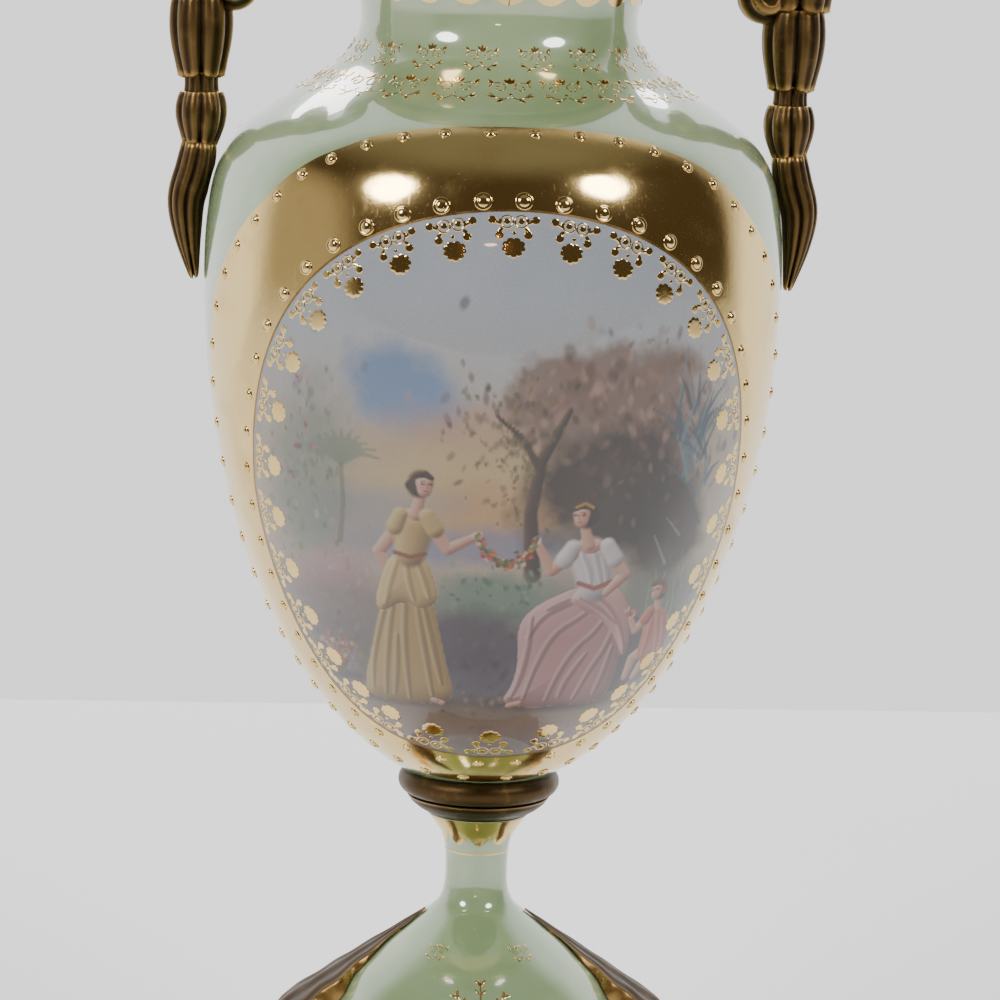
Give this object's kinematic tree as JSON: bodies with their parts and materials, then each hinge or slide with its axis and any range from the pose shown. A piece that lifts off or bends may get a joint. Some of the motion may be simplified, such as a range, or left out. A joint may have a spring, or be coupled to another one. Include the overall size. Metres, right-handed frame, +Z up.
{
  "type": "mantel urn",
  "caption": "Ovoid two-handled vase on a waisted domed foot, with brass rim, collar, handles and leafy square base; stands on a shelf as an ornament.",
  "frame": {"origin": "on the surface the urn stands on, under the middle of its base", "axes": "+Z up along the urn's axis, the handles at +X and -X, the painted panel facing -Y"},
  "size_m": [0.2068, 0.1776, 0.4126],
  "materials": {
    "lustre_porcelain": "pale celadon green lustre glaze, mirror gloss, with worn gilt lacework",
    "burnished_gold": "gilding burnished to a mirror, worn and speckled in places",
    "painted_panel": "soft pastel enamel painting under a clear gloss glaze",
    "aged_brass": "dark brown patina, worn to yellow metal on the high places"
  },
  "bodies": {
    "root": {"brass_base": "aged_brass", "porcelain_foot": "lustre_porcelain", "brass_collar": "aged_brass", "porcelain_body": "lustre_porcelain", "rim_mount": "aged_brass", "handle_right": "aged_brass", "handle_left": "aged_brass"}
  },
  "joints": []
}
